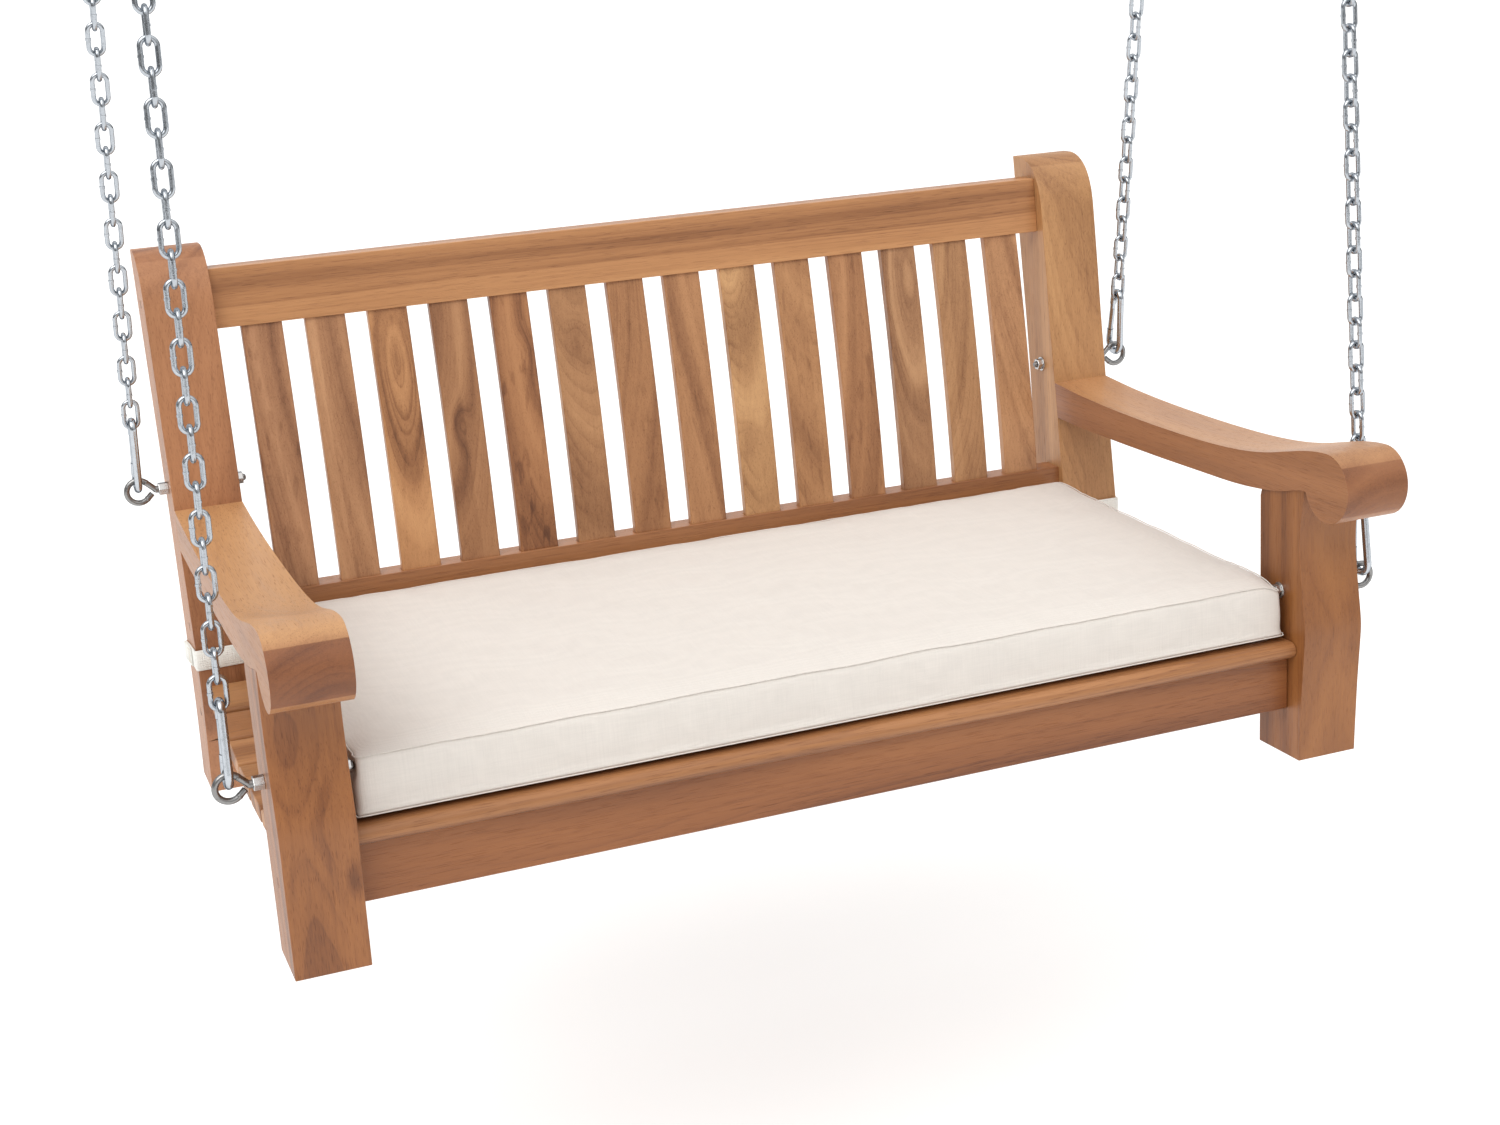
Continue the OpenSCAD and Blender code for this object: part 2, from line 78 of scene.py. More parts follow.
# ------------------------------------------------------------------ node helpers
class Net:
    def __init__(self, tree):
        self.t = tree

    def node(self, kind, **props):
        n = self.t.nodes.new(kind)
        for k, v in props.items():
            setattr(n, k, v)
        return n

    def put(self, socket, value):
        if isinstance(value, bpy.types.NodeSocket):
            self.t.links.new(value, socket)
        elif value is not None:
            socket.default_value = value

    def math(self, op, a, b=None, c=None, clamp=False):
        n = self.node("ShaderNodeMath", operation=op, use_clamp=clamp)
        for s, v in zip(n.inputs, (a, b, c)):
            self.put(s, v)
        return n.outputs[0]

    def vec(self, op, a, b=None, c=None):
        n = self.node("ShaderNodeVectorMath", operation=op)
        for s, v in zip(n.inputs, (a, b, c)):
            self.put(s, v)
        return n.outputs["Value" if op == "DOT_PRODUCT" else "Vector"]

    def scaled(self, vector, factor):
        out = self.vec("SCALE", vector)
        self.put(out.node.inputs["Scale"], factor)
        return out

    def weigh(self, total, *terms):
        """total plus each (term, weight) product."""
        for term, weight in terms:
            total = self.math("MULTIPLY_ADD", term, weight, total)
        return total

    def noise(self, p, scale=1.0, detail=2.0, rough=0.5, dims="3D", w=None, distort=0.0):
        n = self.node("ShaderNodeTexNoise", noise_dimensions=dims)
        if dims != "1D":
            self.put(n.inputs["Vector"], p)
        if w is not None:
            self.put(n.inputs["W"], w)
        self.put(n.inputs["Scale"], scale)
        self.put(n.inputs["Detail"], detail)
        self.put(n.inputs["Roughness"], rough)
        self.put(n.inputs["Distortion"], distort)
        return n.outputs[0]

    def ramp(self, fac, *stops, how="LINEAR"):
        n = self.node("ShaderNodeValToRGB")
        n.color_ramp.interpolation = how
        e = n.color_ramp.elements
        while len(e) < len(stops):
            e.new(0.5)
        for s, (at, colour) in zip(e, stops):
            s.position = at
            grey = isinstance(colour, (int, float))
            s.color = (colour,) * 3 + (1,) if grey else (*colour, 1)
        self.put(n.inputs[0], fac)
        return n.outputs[0]

    def step(self, x, lo, hi):
        n = self.node("ShaderNodeMapRange", interpolation_type="SMOOTHSTEP")
        for k, v in (("Value", x), ("From Min", lo), ("From Max", hi)):
            self.put(n.inputs[k], v)
        return n.outputs[0]

    def mix(self, fac, a, b, blend="MIX"):
        n = self.node("ShaderNodeMix", data_type="RGBA", blend_type=blend)
        n.clamp_factor = True
        for s, v in ((n.inputs[0], fac), (n.inputs[6], a), (n.inputs[7], b)):
            plain = isinstance(v, (bpy.types.NodeSocket, float, int))
            self.put(s, v if plain else (*v, 1))
        return n.outputs[2]

    def bump(self, height, strength, distance, normal=None):
        n = self.node("ShaderNodeBump")
        self.put(n.inputs["Strength"], strength)
        self.put(n.inputs["Distance"], distance)
        self.put(n.inputs["Height"], height)
        self.put(n.inputs["Normal"], normal)
        return n.outputs[0]


def new_material(name, **shader):
    mat = bpy.data.materials.new(name)
    mat.use_nodes = True
    net = Net(mat.node_tree)
    mat.node_tree.nodes.clear()
    out = net.node("ShaderNodeOutputMaterial")
    bsdf = net.node("ShaderNodeBsdfPrincipled")
    net.t.links.new(bsdf.outputs[0], out.inputs[0])
    for k, v in shader.items():
        bsdf.inputs[k.replace("_", " ")].default_value = v
    return mat, net, bsdf


def place_coords(net, matrix):
    """Texture coordinates: the mesh's own place, turned and moved by matrix."""
    coords = net.node("ShaderNodeTexCoord").outputs["Object"]
    n = net.node("ShaderNodeMapping", vector_type="POINT")
    n.inputs["Location"].default_value = matrix.translation
    n.inputs["Rotation"].default_value = matrix.to_3x3().to_euler("XYZ")
    net.put(n.inputs["Vector"], coords)
    return n.outputs[0]


def linear(r, g, b):
    """An 8-bit sRGB colour in linear light."""
    return tuple(((c / 255 + 0.055) / 1.055) ** 2.4 if c > 10 else c / 3294.6
                 for c in (r, g, b))


def new_object(name, verts, faces):
    mesh = bpy.data.meshes.new(name)
    mesh.from_pydata([tuple(v) for v in verts], [], faces)
    return bpy.data.objects.new(name, mesh)


# ------------------------------------------------------------------ teak
KNOT_SIZE, KNOT_LENGTHWISE, KNOT_PUSH = 0.008, 0.42, 0.013
VECTOR, FLOAT, COLOUR = "NodeSocketVector", "NodeSocketFloat", "NodeSocketColor"
TEAK_INPUTS = (
    ("P", VECTOR, None), ("Axis", VECTOR, None), ("Seed", FLOAT, 0.0), ("Ring", FLOAT, 0.005),
    ("Taper", FLOAT, 0.06), ("Wander", FLOAT, 0.03), ("Contrast", FLOAT, 1.0),
    ("Streak", FLOAT, 0.0), ("SapDir", VECTOR, None), ("SapAt", FLOAT, 1.0), ("Sap", FLOAT, 0.0),
    ("EndAt", FLOAT, 0.8), ("EndDark", FLOAT, 0.25), ("KnotAt", VECTOR, None),
    ("Knot", FLOAT, 0.0), ("PaintedTopLight", FLOAT, 0.0), ("Tone", COLOUR, None))
TEAK_OUTPUTS = (("Color", COLOUR), ("Roughness", FLOAT), ("Height", FLOAT))


def build_teak():
    """Growth rings round a pith, streaks, fibres and pores.

    P runs along the grain in x, in metres, and passes through the pith at y = z = 0.
    """
    g = bpy.data.node_groups.new("teak_figure", "ShaderNodeTree")
    for name, kind, value in TEAK_INPUTS:
        s = g.interface.new_socket(name, in_out="INPUT", socket_type=kind)
        if value is not None:
            s.default_value = value
    for name, kind in TEAK_OUTPUTS:
        g.interface.new_socket(name, in_out="OUTPUT", socket_type=kind)
    n = Net(g)
    i = n.node("NodeGroupInput").outputs
    o = n.node("NodeGroupOutput").inputs
    seed = n.node("ShaderNodeCombineXYZ")
    for socket, step in zip(seed.inputs, (1.73, 3.19, 2.41)):
        n.put(socket, n.math("MULTIPLY", i["Seed"], step))
    off = seed.outputs[0]
    sep = n.node("ShaderNodeSeparateXYZ")
    n.put(sep.inputs[0], i["P"])
    u, v, w = sep.outputs

    def field(along, across, detail, rough=0.5):
        """Noise stretched along the grain; both scales are in cycles a metre."""
        return n.noise(n.vec("MULTIPLY_ADD", i["P"], (along, across, across), off),
                       1.0, detail, rough)

    slow = n.math("SUBTRACT", field(1.5, 11, 1.0), 0.5)
    quick = n.math("SUBTRACT", field(5, 55, 2.0), 0.5)
    away = n.vec("MULTIPLY", n.vec("SUBTRACT", i["P"], i["KnotAt"]), (KNOT_LENGTHWISE, 1, 1))
    knot = n.math("MULTIPLY", n.vec("DOT_PRODUCT", away, away), -1 / (2 * KNOT_SIZE ** 2))
    knot = n.math("MULTIPLY", n.math("EXPONENT", knot), i["Knot"])
    radius = n.math("SQRT", n.math("ADD", n.math("MULTIPLY", v, v), n.math("MULTIPLY", w, w)))
    r = n.math("MULTIPLY_ADD", u, i["Taper"], radius)
    r = n.weigh(r, (slow, i["Wander"]), (quick, 0.0022), (knot, KNOT_PUSH))
    q = n.math("ADD", n.math("DIVIDE", r, i["Ring"]), n.math("MULTIPLY", i["Seed"], 7.3))
    broad = n.math("SUBTRACT", n.noise(None, 0.21, 1.5, 0.5, "1D", w=q), 0.5)
    middle = n.math("SUBTRACT", n.noise(None, 0.85, 2.0, 0.6, "1D", w=q), 0.5)
    saw = n.math("FRACT", n.math("MULTIPLY_ADD", middle, 1.4, q))
    late = n.ramp(saw, (0.0, 0.0), (0.55, 0.10), (0.88, 1.0), (0.97, 0.25), (1.0, 0.0))
    late = n.math("MULTIPLY", late, n.step(field(1.6, 22, 1.0), 0.42, 0.66))
    fibre = n.math("SUBTRACT", field(5.5, 300, 3.0, 0.62), 0.5)
    fleck = n.math("SUBTRACT", field(22, 1150, 1.0), 0.5)
    pore = n.step(field(42, 1600, 0.0), 0.64, 0.74)
    mottle = n.math("SUBTRACT", field(3.2, 16, 2.0), 0.5)
    streak = n.math("MULTIPLY", n.step(field(0.42, 130, 1.5), 0.57, 0.68), i["Streak"])
    sap = n.math("MULTIPLY_ADD", slow, 0.02, n.vec("DOT_PRODUCT", i["P"], i["SapDir"]))
    sap = n.step(n.math("SUBTRACT", sap, i["SapAt"]), -0.0012, 0.0012)
    sap = n.math("MULTIPLY", sap, i["Sap"])
    # ends of the grain are darker, soak up more oil and show their rings
    normal = n.node("ShaderNodeNewGeometry").outputs["Normal"]
    end = n.math("ABSOLUTE", n.vec("DOT_PRODUCT", normal, i["Axis"]))
    end = n.step(n.math("SUBTRACT", end, i["EndAt"]), -0.012, 0.012)
    contrast = n.math("MULTIPLY", i["Contrast"], n.math("MULTIPLY_ADD", end, 0.9, 1.0))
    s = n.math("MULTIPLY", n.math("MULTIPLY", broad, 0.90), contrast)
    s = n.weigh(s, (n.math("MULTIPLY", middle, 0.16), contrast),
                (n.math("MULTIPLY", late, -0.13), contrast), (mottle, 0.24), (fibre, 0.28),
                (n.math("MULTIPLY", knot, knot), -0.22), (fleck, 0.10), (pore, -0.17),
                (streak, -0.22))
    s = n.math("ADD", n.math("ADD", s, sap), 0.5, clamp=True)
    figure = n.ramp(s, (0.0, (0.30, 0.235, 0.20)), (0.25, (0.60, 0.53, 0.49)),
                    (0.5, (0.92, 0.91, 0.90)), (0.75, (1.17, 1.24, 1.30)),
                    (1.0, (1.38, 1.56, 1.72)))
    dark = n.scaled((-0.85, -1.10, -1.20), n.math("MULTIPLY", end, i["EndDark"]))
    dark = n.vec("ADD", dark, (1, 1, 1))
    # upward faces are painted paler: painted top light and sheen from above, broken up by the
    # mottle
    facing = n.node("ShaderNodeSeparateXYZ")
    n.put(facing.inputs[0], normal)
    wear_and_top_light = n.step(n.math("MULTIPLY_ADD", mottle, 0.3, facing.outputs[2]), 0.68, 0.97)
    top_light_tint = n.scaled((0.32, 0.56, 0.74), n.math("MULTIPLY", wear_and_top_light, i["PaintedTopLight"]))
    tone = n.vec("MULTIPLY", i["Tone"], n.vec("ADD", top_light_tint, (1, 1, 1)))
    n.put(o["Color"], n.vec("MULTIPLY", n.vec("MULTIPLY", figure, tone), dark))
    n.put(o["Roughness"], n.weigh(0.47, (fibre, 0.22), (pore, 0.16), (end, 0.12), (late, -0.07)))
    n.put(o["Height"], n.weigh(n.math("MULTIPLY", fibre, 1.1),
                               (fleck, 0.5), (pore, -0.55), (late, 0.22)))
    return g


TEAK = build_teak()
TURN = {"X": Matrix(((1, 0, 0), (0, 1, 0), (0, 0, 1))),
        "Y": Matrix(((0, 1, 0), (0, 0, 1), (1, 0, 0))),
        "Z": Matrix(((0, 0, 1), (1, 0, 0), (0, 1, 0)))}
ALONG = {"X": Vector((1, 0, 0)), "Y": Vector((0, 1, 0)), "Z": Vector((0, 0, 1))}
# every tone is multiplied by this in linear light
GAIN = (1.0, 0.94, 0.74)


def teak(name, axis, pith, tone, seed, ring=0.005, taper=0.06, wander=0.03, contrast=1.0,
         streak=0.0, lean=0.0, sap=None, end_at=0.8, end_dark=0.25, bump=0.45, knot=None,
         painted_top_light=0.0):
    """A material for one piece.

    axis is the grain's, and pith a point of the ring centre, in the bench's frame.
    """
    mat, net, bsdf = new_material(name, Specular_IOR_Level=0.5, IOR=1.5, Coat_Weight=0.12,
                                  Coat_Roughness=0.30)
    turn = (TURN[axis].to_4x4() @ Matrix.Rotation(math.radians(lean), 4, "X")
            @ Matrix.Translation(-Vector(pith)))
    # each piece is cut from another stretch of the noise, so it is shifted along the grain
    turn = Matrix.Translation((seed * 1.37 % 9, 0, 0)) @ turn @ BENCH.inverted()
    fig = net.node("ShaderNodeGroup", node_tree=TEAK)
    net.put(fig.inputs["P"], place_coords(net, turn))
    net.put(fig.inputs["Axis"], BENCH.to_3x3() @ ALONG[axis])
    rgb = tuple(c * k for c, k in zip(linear(*tone), GAIN))
    for k, v in (("Seed", seed), ("Ring", ring), ("Taper", taper), ("Wander", wander),
                 ("Contrast", contrast), ("Streak", streak), ("EndAt", end_at),
                 ("EndDark", end_dark), ("PaintedTopLight", painted_top_light), ("Tone", (*rgb, 1))):
        fig.inputs[k].default_value = v
    if knot:
        fig.inputs["KnotAt"].default_value = turn @ (BENCH @ Vector(knot[0]))
        fig.inputs["Knot"].default_value = knot[1]
    if sap:
        for k, v in zip(("SapDir", "SapAt", "Sap"), sap):
            fig.inputs[k].default_value = v
    net.put(bsdf.inputs["Base Color"], fig.outputs["Color"])
    net.put(bsdf.inputs["Roughness"], fig.outputs["Roughness"])
    net.put(bsdf.inputs["Normal"], net.bump(fig.outputs["Height"], bump, 0.0006))
    return mat


WELD_DISTANCE = 0.00002


def weld(o):
    o.modifiers.new("weld", "WELD").merge_threshold = WELD_DISTANCE


def ease(o, width, segments, degrees):
    """Rounds the edges sharper than this angle."""
    b = o.modifiers.new("eased", "BEVEL")
    b.width, b.segments = width, segments
    b.limit_method, b.angle_limit = "ANGLE", math.radians(degrees)
    return b


def dress(name, mat, bevel=0.0018):
    """Gives a CAD node its material, and eased edges where bevel isn't 0."""
    o = nodes[name]
    o.data.materials.clear()
    o.data.materials.append(mat)
    if bevel:
        for a in ("custom_normal", "sharp_edge", "sharp_face"):
            if a in o.data.attributes:
                o.data.attributes.remove(o.data.attributes[a])
        o.data.polygons.foreach_set("use_smooth", [True] * len(o.data.polygons))
        weld(o)
        flat = o.modifiers.new("flat", "DECIMATE")
        flat.decimate_type, flat.angle_limit = "DISSOLVE", math.radians(0.3)
        ease(o, bevel, 3, 28).harden_normals = True


SLAT_PITCH, SLAT_SEED, SLAT_SEED_STEP = 0.0726, 11.3, 2.7
# a slat's face, for its knots: the height where its curve starts, its rise, and y along it
SLAT_FOOT, SLAT_RISE, SLAT_CURVE = 0.233, 0.304, (0.5375, 0.0235, 0.017)
# slats: centre of the rings to one side gives straight grain, close behind gives cathedrals
# tone, pith x and y behind the face in mm, taper, wander, contrast, streak, sap (side, place from
# the centre in mm, amount), knot (x and z in mm, amount)
SLATS = [
    ((174, 127, 99), 60, 45, 0.02, 0.020, 0.8, 0.6, None, None),
    ((178, 131, 101), 90, 60, 0.01, 0.010, 0.6, 0.3, (-1, 9, 0.17), None),
    ((185, 134, 97), 2, 34, 0.06, 0.034, 1.5, 0.3, None, None),
    ((166, 119, 88), -30, 45, 0.03, 0.040, 1.3, 0.0, (1, 2, 0.12), (-6, 395, 1.0)),
    ((168, 117, 83), 30, 40, 0.04, 0.034, 1.2, 0.9, None, (12, 470, 0.8)),
    ((178, 132, 99), 8, 70, 0.03, 0.030, 0.9, 0.2, None, (4, 480, 0.5)),
    ((177, 128, 94), -50, 60, 0.02, 0.022, 0.8, 0.4, None, None),
    ((185, 136, 102), 60, 50, 0.02, 0.022, 0.9, 0.3, None, None),
    ((194, 149, 112), -12, 60, 0.04, 0.034, 1.1, 0.2, None, (-8, 330, 0.6)),
    ((183, 135, 100), 30, 90, 0.02, 0.022, 0.8, 0.5, (1, 10, 0.10), None),
    ((176, 127, 94), -70, 60, 0.02, 0.020, 0.8, 0.6, None, None),
    ((177, 133, 103), 10, 40, 0.05, 0.034, 1.2, 0.3, None, None),
    ((181, 136, 103), -55, 70, 0.02, 0.022, 0.8, 0.2, (-1, 6, 0.10), None),
    ((194, 146, 113), 40, 60, 0.02, 0.022, 0.8, 0.3, None, None)]


def dress_slats():
    for k, (tone, px, py, taper, wander, contrast, streak, sap, knot) in enumerate(SLATS):
        x = (k - 6.5) * SLAT_PITCH
        if sap:
            side, at, amount = sap
            at = (side * -px + at) / 1000 if side > 0 else (px + at) / 1000
            sap = ((0, side, 0), at, amount)
        if knot:
            z = knot[1] / 1000
            t = (z - SLAT_FOOT) / SLAT_RISE
            y = SLAT_CURVE[0] + SLAT_CURVE[1] * t + SLAT_CURVE[2] * t * t
            knot = ((x + knot[0] / 1000, y, z), knot[2])
        name = f"back_slat_{k + 1:02d}"
        pith = (x + px / 1000, 0.545 + py / 1000, 0.385)
        dress(name, teak(name, "Z", pith, tone, SLAT_SEED + SLAT_SEED_STEP * k, ring=0.0042,
                         taper=taper, wander=wander, contrast=contrast, streak=streak,
                         lean=-6.5, sap=sap, knot=knot), 0.0022)


HIDDEN_TONE = (170, 121, 88)
# name, grain, pith, tone, seed, figure
LONG_PIECES = (
    ("top_back_rail", "X", (0, 0.640, 0.640), (181, 129, 91), 3.1,
     dict(ring=0.006, taper=0.004, wander=0.016, contrast=1.0, streak=0.3,
          sap=((0, 0, -1), 0.640 - 0.560, 0.20))),
    ("lower_back_rail", "X", (0, 0.600, 0.150), (169, 116, 81), 5.9,
     dict(ring=0.005, taper=0.008, wander=0.02)),
    # the apron's tone is its own, darkened further as painted shade under the seat's nose and on
    # its front face
    ("front_apron", "X", (0.10, 0.085, 0.100), (144, 89, 52), 8.2,
     dict(ring=0.0055, taper=0.010, wander=0.05, contrast=1.2, streak=0.7)),
    ("rear_seat_rail", "X", (0, 0.620, 0.100), HIDDEN_TONE, 9.4, dict(taper=0.012)),
    ("centre_bearer", "Y", (0.03, 0.3, 0.03), HIDDEN_TONE, 10.6, dict(taper=0.01)),
    ("seat_board_nose", "X", (0.2, 0.050, 0.060), (174, 122, 84), 12.9,
     dict(ring=0.005, taper=0.010, wander=0.035, contrast=1.1, streak=0.3)))
BOARD_PITH_SHIFTS = (-0.03, 0.05, 0.01, -0.06, 0.02, 0.04)
BOARD_TONES = ((176, 127, 92), (168, 119, 85), (180, 132, 95))
# left and right
POST_TONES = ((182, 128, 96), (192, 145, 106))
# the legs' tones are their own, darkened further as painted shade for their front faces
SHADED_LEG_TONES = ((159, 103, 61), (145, 92, 52))
ARM_TONES = ((177, 125, 89), (166, 114, 81))
LEFT_LEG_KNOT = ((-0.535, -0.004, 0.092), 1.0)


def dress_wood():
    dress_slats()
    for name, axis, pith, tone, seed, figure in LONG_PIECES:
        dress(name, teak(name, axis, pith, tone, seed, **figure))
    for k in range(6):
        name = f"seat_board_{k + 1}"
        pith = (0, 0.118 + 0.071 * k + BOARD_PITH_SHIFTS[k], 0.06)
        dress(name, teak(name, "X", pith, BOARD_TONES[k % 3], 20.3 + 3.3 * k, ring=0.005,
                         taper=0.014, wander=0.03, contrast=1.0, streak=0.4, end_dark=0.08),
              0.0012)
    for at, (side, s) in enumerate((("left", -1), ("right", 1))):
        name = f"rear_post_{side}"
        dress(name, teak(name, "Z", (s * 0.60, 0.660, 0.3), POST_TONES[at], 31.7 + 4 * s,
                         ring=0.006, taper=0.015, wander=0.018, contrast=0.7, streak=0.3,
                         end_dark=0.15))
        name = f"front_leg_{side}"
        dress(name, teak(name, "Z", (s * 0.575, 0.120, 0.15), SHADED_LEG_TONES[at], 41.7 + 4 * s,
                         ring=0.006, taper=0.02, wander=0.03, contrast=(1.1, 0.8)[at],
                         streak=0.3, knot=(LEFT_LEG_KNOT, None)[at]))
        # the arms' upward faces are painted paler, as painted top light and sheen
        name = f"armrest_{side}"
        dress(name, teak(name, "Y", (s * 0.562 + 0.018, 0.25, 0.262), ARM_TONES[at],
                         51.1 + 3 * s, ring=0.0075, taper=0.008, wander=0.014, contrast=0.5,
                         end_at=0.70, end_dark=(0.48, 0.30)[at], painted_top_light=1.0), 0.002)
        name = f"side_rail_{side}"
        dress(name, teak(name, "Y", (s * 0.56, 0.3, 0.02), (172, 123, 90), 61.9 + s,
                         taper=0.012))
    dress("dowel_plugs", teak("dowel_plugs", "X", (0, 0.55, 0.30), (150, 102, 72), 71.3,
                              ring=0.0025, contrast=1.4, end_at=0.6, end_dark=0.15), 0)


# ------------------------------------------------------------------ metal
def metal(name, colour, rough, spread, dents=0.25, grime=0.25):
    """Metal with clouded, worn and scratched roughness; spread is how much the clouds vary it."""
    mat, net, bsdf = new_material(name, Metallic=1.0, IOR=1.5,
                                  Specular_Tint=(0.22, 0.24, 0.27, 1))
    p = net.node("ShaderNodeTexCoord").outputs["Object"]
    cloud = net.noise(p, 90, 3, 0.6)
    fine = net.noise(p, 900, 2, 0.5)
    scratch = net.noise(net.vec("MULTIPLY", p, (1400, 1400, 160)), 1, 1, 0.5)
    wear_and_top_light = net.step(net.noise(p, 260, 2, 0.6), 0.52, 0.70)
    dull = tuple(c * 0.62 for c in colour)
    base = net.mix(net.math("MULTIPLY", wear_and_top_light, grime), colour, dull)
    base = net.mix(net.step(cloud, 0.4, 0.75), base, tuple(min(1, c * 1.10) for c in colour))
    net.put(bsdf.inputs["Base Color"], base)
    r = net.math("MULTIPLY_ADD", cloud, spread, rough - spread / 2)
    r = net.math("MULTIPLY_ADD", wear_and_top_light, 0.12, r)
    scratch = net.math("SUBTRACT", scratch, 0.5)
    net.put(bsdf.inputs["Roughness"], net.math("MULTIPLY_ADD", scratch, 0.12, r, clamp=True))
    height = net.math("ADD", cloud, net.math("MULTIPLY", fine, 0.4))
    net.put(bsdf.inputs["Normal"], net.bump(height, dents, 0.0004))
    return mat


def dress_metal():
    chain = metal("zinc_chain", (0.48, 0.51, 0.545), 0.22, 0.18)
    snap = metal("zinc_snap", (0.52, 0.55, 0.585), 0.20, 0.14, 0.15)
    steel = metal("stainless_eye", (0.30, 0.295, 0.29), 0.30, 0.18, 0.30, 0.4)
    nut = metal("stainless_nut", (0.62, 0.61, 0.60), 0.24, 0.16, 0.15, 0.3)
    hook = metal("zinc_hook", (0.50, 0.53, 0.57), 0.32, 0.20)
    for start, mat in (("chain_", chain), ("snap_", snap), ("gate_", snap), ("eye_bolt", steel),
                       ("hex_nuts", nut), ("washers", nut), ("hook_", hook)):
        for name in nodes:
            if name.startswith(start):
                dress(name, mat, 0)
    for name, width in (("hex_nuts", 0.0006), ("washers", 0.0003)):
        weld(nodes[name])
        ease(nodes[name], width, 2, 40)


# ------------------------------------------------------------------ cloth materials
def canvas_material(name, colour, pitch=0.0009, weave=0.35, slub=0.05, sheen=0.25):
    """Woven cloth; pitch is from thread to thread, slub how much single threads stand out."""
    mat, net, bsdf = new_material(name, Sheen_Weight=sheen, Sheen_Roughness=0.5,
                                  Specular_IOR_Level=0.25)
    p = place_coords(net, BENCH.inverted())
    k = 2 * math.pi / pitch
    sep = net.node("ShaderNodeSeparateXYZ")
    drift = net.node("ShaderNodeTexNoise")
    net.put(drift.inputs["Vector"], p)
    net.put(drift.inputs["Scale"], 55)
    wob = net.scaled(net.vec("SUBTRACT", drift.outputs["Color"], (0.5, 0.5, 0.5)), 0.0006)
    net.put(sep.inputs[0], net.vec("ADD", p, wob))
    waves = [net.math("SINE", net.math("MULTIPLY", c, k)) for c in sep.outputs]
    grid = net.math("ADD", net.math("ADD", waves[0], waves[1]), waves[2])
    warp = net.noise(net.vec("MULTIPLY", p, (700, 30, 30)), 1, 2, 0.6)
    weft = net.noise(net.vec("MULTIPLY", p, (30, 700, 700)), 1, 2, 0.6)
    threads = net.math("SUBTRACT", net.math("ADD", warp, weft), 1.0)
    cloud = net.math("SUBTRACT", net.noise(p, 14, 3, 0.55), 0.5)
    tone = net.weigh(1.0, (threads, slub * 2), (cloud, slub * 0.8), (grid, 0.012))
    net.put(bsdf.inputs["Base Color"], net.scaled(colour, tone))
    net.put(bsdf.inputs["Roughness"], net.math("MULTIPLY_ADD", threads, 0.15, 0.86, clamp=True))
    h = net.math("MULTIPLY_ADD", threads, 1.6, net.math("MULTIPLY", grid, 0.45))
    net.put(bsdf.inputs["Normal"], net.bump(h, weave, 0.0003))
    return mat


def link(obj, mat, smooth=True):
    scene.collection.objects.link(obj)
    obj.data.materials.append(mat)
    if smooth:
        obj.data.polygons.foreach_set("use_smooth", [True] * len(obj.data.polygons))
    return obj


# ------------------------------------------------------------------ cushion
# the pad lies PAD_Y behind the toe line and PAD_Z up, and rises to the back by PAD_SLOPE
PAD_Y, PAD_Z, PAD_SLOPE = 0.0145, 0.1375, math.radians(1)
CUSHION = BENCH @ Matrix.Translation((0, PAD_Y, PAD_Z)) @ Matrix.Rotation(PAD_SLOPE, 4, "X")
# the cover as sewn, in the pad's own frame
PAD_HX, PAD_Y0, PAD_Y1, PAD_Z0, PAD_Z1, PAD_CORNER = 0.5215, 0.0050, 0.5110, 0.0012, 0.0658, 0.007
PAD_MID_Y, PAD_HALF_Y, PAD_TALL = 0.257, 0.254, 0.0646
PAD_CELLS = (150, 72, 8)
# how far the cloth may move from there
TOP_CAP, SIDE_CAP, BELOW_CAP, BELOW_LEAST = 0.0060, 0.0040, 0.006, 0.0002
# the boards under it, in the bench's frame: top = SEAT_LOW + SEAT_DISH * (y - SEAT_MID) ** 2
SEAT_LOW, SEAT_DISH, SEAT_MID, NOSE_BACK = 0.119, 0.37, 0.24, 0.082
# where the front bolts' inner nuts press on the pad: y, z, their radii there, and the face's x
NUT_Y, NUT_Z, NUT_RY, NUT_RZ, NUT_FACE = 0.0235, 0.0535, 0.0125, 0.012, 0.5130
WELT = 0.0007


